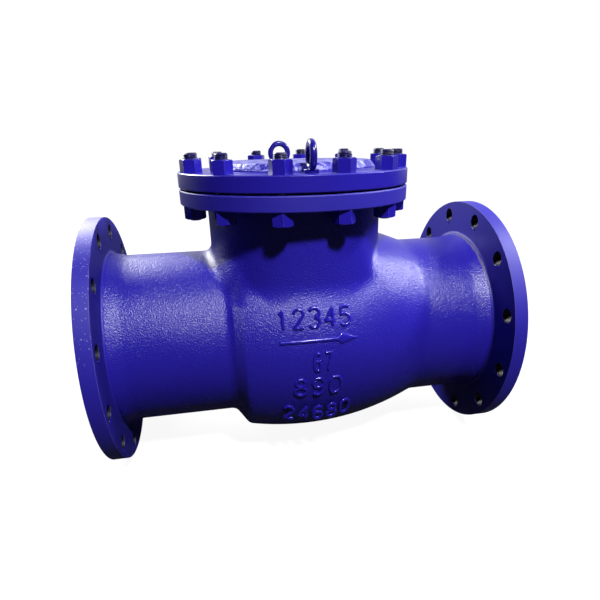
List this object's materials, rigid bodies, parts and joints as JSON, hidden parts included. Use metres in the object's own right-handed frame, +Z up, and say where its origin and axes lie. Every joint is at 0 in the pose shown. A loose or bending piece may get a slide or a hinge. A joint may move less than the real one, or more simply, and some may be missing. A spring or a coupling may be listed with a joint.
{
  "type": "swing check valve",
  "caption": "Large flanged swing check valve: painted cast steel body with a bolted round cover, lifting eyes and a hinged flap inside.",
  "frame": {"origin": "centre of the inlet flange's raised face, on the pipe's axis", "axes": "+X along the pipe in the direction of flow, +Y to the rear, +Z up through the bonnet and cover"},
  "size_m": [0.75, 0.46, 0.5824],
  "materials": {
    "painted_casting": "gloss blue enamel over sand cast steel",
    "painted_cover": "gloss blue enamel over turned and cast steel",
    "painted_nuts": "gloss blue enamel over steel nuts",
    "painted_eyes": "thick gloss blue enamel over forged steel",
    "stud_steel": "dark oiled steel with rubbed blue paint",
    "gasket": "dark graphite sheet",
    "cast_steel": "bare cast steel",
    "machined_steel": "turned stainless steel",
    "bush_bronze": "turned bronze"
  },
  "bodies": {
    "valve": {"valve_body": "painted_casting", "seat_ring": "machined_steel", "bonnet_cover": "painted_cover", "bonnet_gasket": "gasket", "cover_studs": "stud_steel", "upper_nuts": "painted_nuts", "lower_nuts": "painted_nuts", "lifting_eye_front": "painted_eyes", "lifting_eye_rear": "painted_eyes", "hinge_bracket": "cast_steel", "bracket_screws": "machined_steel", "bracket_lock_washers": "machined_steel", "hinge_pin": "machined_steel", "hinge_pin_washer": "machined_steel", "hinge_split_pin": "machined_steel"},
    "swing": {"swing_arm": "cast_steel", "hinge_bushes": "bush_bronze"},
    "flap": {"flap_disc": "cast_steel", "disc_washer": "machined_steel", "disc_nut": "machined_steel", "disc_split_pin": "machined_steel"}
  },
  "joints": [
    {"name": "flap_swing", "type": "hinge", "parent": "valve", "child": "swing", "pos_m": [0.272, 0, 0.204], "axis": [0, -1, 0], "range_deg": [0, 55]},
    {"name": "disc_spin", "type": "hinge", "parent": "swing", "child": "flap", "pos_m": [0.3, 0, 0], "axis": [1, 0, 0], "continuous": true}
  ]
}
